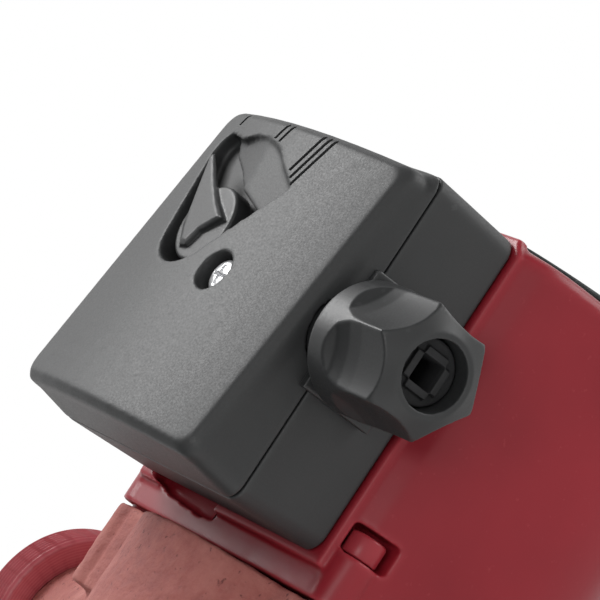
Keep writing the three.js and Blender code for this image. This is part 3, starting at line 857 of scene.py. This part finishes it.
def screw_pockets():
    """Clearance beside each screw head, open to the outside, and the screws' holes."""
    radius, depth = SCREW_POCKET
    end = EAR_REACH + depth
    parts = []
    for x, z in EARS:
        low_z, high_z = sorted((z, 2 * z))
        parts.append(bar("pocket", "motor", (x, 0, z), radius, EAR_REACH, end))
        parts.append(block("notch", (x - radius, -end, low_z), (x + radius, -EAR_REACH, high_z)))
        parts.append(bar("hole", "motor", (x, 0, z), SCREW_HOLE_RADIUS, JOINT_REACH - 1, EAR_REACH + 1))
    return parts


def motor_openings():
    """The stator's room, the space round it, the vent's hole and the holes up into the box."""
    wall = 4
    return [
        bar("mouth", "motor", ON_AXIS, STATOR_RADIUS + 0.4, JOINT_REACH - 1, MOTOR_END - 12, 96),
        slab_loft("hollow", [(reach, housing_outline(wall)) for reach in (EAR_REACH + 10, MOTOR_END - 5)]),
        bar("vent", "motor", ON_AXIS, 7.4, MOTOR_END - 16, MOTOR_END + 3),
        bar("wire", "front", AT_WIRE_HOLE, 7, 20, 45),
        *fixing_holes(),
    ]


def make_motor_housing():
    body = slab_loft("motor_shell", [(JOINT_REACH, housing_outline())] + end_round(3.2, housing_outline))
    below_box = block("below_box", (-60, -BOX_NEAR + SEAT_MARGIN, -60), (-35, -JOINT_REACH + 1, 60))
    cut(body, [below_box])
    lip_half = SEAT_HALF_WIDTH - 3
    lip = block("lip", (SEAT_X, -BOX_FAR - 1.5, -lip_half), (SEAT_X + 2.4, -100, lip_half))
    join(body, [motor_seat(), lip, *motor_flange()])
    scoop = panel("scoop", [(32.8, 12), (33.4, 6), (44, 2), (44, 36), (35.6, 33), (34, 27)], -60, -32.6)
    cut(body, [*screw_pockets(), scoop])
    cut(body, motor_openings())
    soften(body, 0.5, 5)
    place(body, "pump", "red_paint", RED_ENAMEL, "motor_housing")


def make_flange_screws():
    head = EAR_REACH + 0.3
    for index, (x, z) in enumerate(EARS):
        screw = lathe(f"cap_screw_{index + 1}", "motor", (x, 0, z), [
            (0, 16), (2.5, 16), (2.5, head), (3.9, head), (4, head + 0.3), (4, head + 4.2), (3.8, head + 4.7),
            (3.4, head + 4.9), (0, head + 4.9),
        ], 64)
        cut(screw, [bar("socket", "motor", (x, 0, z), 2.3, head + 2.3, head + 6, 6)])
        crisp(screw, 0.15)
        place(screw, "pump", "painted_screw", RED_ENAMEL, f"flange_screw_{index + 1}")


def make_motor_end():
    back, face, rim = MOTOR_END + 0.3, MOTOR_END + 1.2, MOTOR_END + 1.6
    plate = lathe("blank_end_plate", "motor", ON_AXIS, [
        (11, back), (43.9, back), (44, MOTOR_END + 0.9), (43.2, rim), (41.6, rim),
        (41.2, face), (14, face), (13.4, rim), (11.4, rim), (11, face),
    ], 160)
    cut(plate, [block("flat", (-60, -120, -60), (SEAT_X + 2.8, -100, 60))])
    crisp(plate, 0.12)
    place(plate, "pump", "dark_plate", FINISHES["dark_plate"], "end_plate")
    cap = lathe("brass_vent_plug", "motor", ON_AXIS, [
        (0, 104.5), (6.8, 104.5), (6.8, MOTOR_END + 1.3), (10.2, MOTOR_END + 1.3), (10.4, rim),
        (10.4, MOTOR_END + 3.9), (10.1, MOTOR_END + 4.4), (9.3, MOTOR_END + 4.9),
        (8.6, MOTOR_END + 5), (0, MOTOR_END + 5),
    ])
    cut(cap, [block("slot", (-12, -MOTOR_END - 6, -1), (12, -MOTOR_END - 2.6, 1))])
    crisp(cap, 0.15)
    place(cap, "vent", "brass", FINISHES["brass"], "vent_plug")


# ---- Volute ----
def water_rooms(joint):
    """The impeller's and the suction rooms, the passages between them and the bores, and the screw taps."""
    rooms = [
        block("motor_side", (-60, -60, -60), (60, -joint, 60)),
        lathe("impeller_room", "motor", ON_AXIS, [(0, 8), (39, 8), (39, 40), (0, 40)]),
        lathe("suction_room", "motor", ON_AXIS, [(0, -26), (18, -26), (24, -20), (24, 4), (0, 4)]),
        bar("eye", "motor", ON_AXIS, 13.3, 0, 12),
        slanted("inlet", (0, 0, -56), (0, 10, -14), 10.2),
        slanted("outlet", (0, 0, 57), (0, -17, 26), 9.6),
    ]
    rooms += [bar("bore", axis, ON_AXIS, BORE_RADIUS, 48, PORT + 1) for axis in ("up", "down")]
    rooms += [bar("tap", "motor", (x, 0, z), SCREW_HOLE_RADIUS, 14, 30) for x, z in EARS]
    return rooms


def make_union_collar(axis):
    shoulder = PORT - COLLAR_LENGTH
    root = COLLAR_RADIUS - 1
    thread = [
        (COLLAR_RADIUS if i % 2 else COLLAR_RADIUS - 0.8, shoulder + 2.2 + 0.58 * i) for i in range(12)
    ]
    collar = lathe(f"union_collar_{axis}", axis, ON_AXIS, [
        (BORE_RADIUS, shoulder + 0.4), (17.6, shoulder + 0.4), (17.8, shoulder), (root, shoulder),
        (COLLAR_RADIUS, shoulder + 1), *thread, (root, PORT), (14.2, PORT), (13.2, PORT - 0.5),
        (BORE_RADIUS, PORT - 1.2),
    ], 160)
    crisp(collar, 0.1)
    place(collar, "pump", "painted_casting", TURNED_PAINT)


def make_volute():
    joint = JOINT_REACH - 0.4
    neck_end = PORT - COLLAR_LENGTH + 0.1
    bowl = lathe("cast_volute", "motor", ON_AXIS, [
        (0, -31), (24, -31), (35, -26), (43, -14), (46, 4), (46, joint), (0, joint),
    ])
    neck = [
        (0, 12), (30, 22), (31, 34), (29, 43), (25.6, 52), (22, 61), (19.3, 70),
        (18.3, neck_end), (0, neck_end),
    ]
    necks = [lathe("neck", axis, ON_AXIS, neck) for axis in ("up", "down")]
    flats = block("flats", (-35, -joint, -36), (35, -EAR_FOOT, 36))
    bosses = [bar("ear", "motor", (x, 0, z), EAR_RADIUS, EAR_FOOT, joint) for x, z in EARS]
    join(bowl, [*necks, flats, *bosses])
    cut(bowl, water_rooms(joint))
    soften(bowl, 0.75, 9)
    roughen(bowl, "cast_skin", 4.5, 0.5)
    roughen(bowl, "cast_grain", 1.6, 0.22)
    place(bowl, "pump", "painted_casting", CAST_PAINT, "pump_housing")
    for axis in ("up", "down"):
        make_union_collar(axis)


def slanted(name, start, end, radius):
    """A round bar between two points."""
    way = Vector(end) - Vector(start)
    turn = way.to_track_quat("Z", "Y")
    sides = 32
    angles = [math.tau * i / sides for i in range(sides)]
    section = [turn @ Vector((radius * math.cos(angle), radius * math.sin(angle), 0)) for angle in angles]
    return loft(name, [[tuple(Vector(middle) + point) for point in section] for middle in (start, end)])


def roughen(piece, name, size, strength):
    """Pushes the skin in and out by cloud noise; both numbers are in millimetres."""
    clouds = bpy.data.textures.new(name, "CLOUDS")
    clouds.noise_scale = size * MM
    clouds.noise_depth = 3
    push = piece.modifiers.new("push", "DISPLACE")
    push.texture = clouds
    push.texture_coords = "LOCAL"
    push.strength = strength * MM
    push.mid_level = 0.75
    settle(piece)
    piece.data.shade_smooth()


# ---- Inside pieces keep their CAD shape, with bevelled edges and their own finish ----
def finish_inside():
    slots = {row["node"]: row["material_slot"] for row in frame["record"]["subparts"]}
    for name, node in frame["nodes"].items():
        if node.hide_render:
            continue
        bevel = node.modifiers.new("bevel", "BEVEL")
        bevel.width = 0.25 * MM
        bevel.segments = 2
        bevel.limit_method = "ANGLE"
        bevel.angle_limit = math.radians(40)
        node.data.materials.clear()
        node.data.materials.append(FINISHES[slots[name]])
        node.data.set_sharp_from_angle(angle=math.radians(30))


# ---- Light and floor, in metres ----
OBJECT_MIDDLE = Vector((-0.03, -0.07, 0))
# Each lamp's name, direction from the object, distance, size and power in watts.
LAMPS = [
    ("key", (-1, -0.4, 1), 1.5, (0.7, 0.7), 17),
    ("far_edge", (0.4, -1, -0.25), 1.6, (0.6, 1.2), 8),
    ("flank", (-1, 0.1, -0.75), 1.6, (0.25, 0.6), 3),
    ("side_fill", (0.3, 0.9, -0.8), 1.8, (1.2, 1.2), 2.5),
]
WORLD_DIMMEST = 0.05
FLOOR_HALF = 9
FLOOR_TOP = -2.2
FLOOR_THICKNESS = 0.02


def soft_lamp(name, direction, distance, size, power):
    data = bpy.data.lights.new(name, "AREA")
    data.shape = "RECTANGLE"
    data.size, data.size_y = size
    data.energy = power
    lamp = bpy.data.objects.new(name, data)
    bpy.context.collection.objects.link(lamp)
    away = Vector(direction).normalized()
    place_at = Matrix.Translation(OBJECT_MIDDLE + away * distance)
    lamp.matrix_world = place_at @ facing(-away, AXES["up"])
    lamp.visible_camera = False


def make_world():
    """White surroundings where the camera looks, dimmer behind it; the background itself stays white."""
    world = bpy.data.worlds.new("studio")
    world.use_nodes = True
    tree = world.node_tree
    background = tree.nodes["Background"]
    direction = tree.nodes.new("ShaderNodeTexCoord").outputs["Generated"]
    toward = tree.nodes.new("ShaderNodeVectorMath")
    toward.operation = "DOT_PRODUCT"
    tree.links.new(direction, toward.inputs[0])
    toward.inputs[1].default_value = LOOK.normalized()
    ramp = tree.nodes.new("ShaderNodeMapRange")
    ramp.interpolation_type = "SMOOTHSTEP"
    tree.links.new(toward.outputs["Value"], ramp.inputs["Value"])
    ramp.inputs["From Min"].default_value = 0.05
    ramp.inputs["From Max"].default_value = 0.9
    ramp.inputs["To Min"].default_value = WORLD_DIMMEST
    ramp.inputs["To Max"].default_value = 1.0
    straight = tree.nodes.new("ShaderNodeLightPath").outputs["Is Camera Ray"]
    brightest = tree.nodes.new("ShaderNodeMath")
    brightest.operation = "MAXIMUM"
    tree.links.new(ramp.outputs["Result"], brightest.inputs[0])
    tree.links.new(straight, brightest.inputs[1])
    tree.links.new(brightest.outputs["Value"], background.inputs["Strength"])
    background.inputs["Color"].default_value = (1, 1, 1, 1)
    bpy.context.scene.world = world


def make_floor():
    n = Nodes("pale_floor")
    colour = n.ramp(n.noise(3, 3), [(0.3, (0.78, 0.78, 0.77)), (0.7, (0.84, 0.84, 0.83))])
    n.link(colour, n.shader.inputs["Base Color"])
    n.set(Roughness=0.8)
    half, top = FLOOR_HALF / MM, FLOOR_TOP / MM
    floor = block("floor", (-half, -half, top - FLOOR_THICKNESS / MM), (half, half, top))
    floor.data.materials.append(n.material)


make_camera()
bpy.context.scene.view_settings.view_transform = "Standard"
make_world()
make_floor()
for lamp_row in LAMPS:
    soft_lamp(*lamp_row)

make_cover()
make_box_base()
make_knob()
make_cover_screw()
make_gland_body()
make_gland_seal()
make_gland_nut()
make_motor_housing()
make_flange_screws()
make_motor_end()
make_volute()
finish_inside()
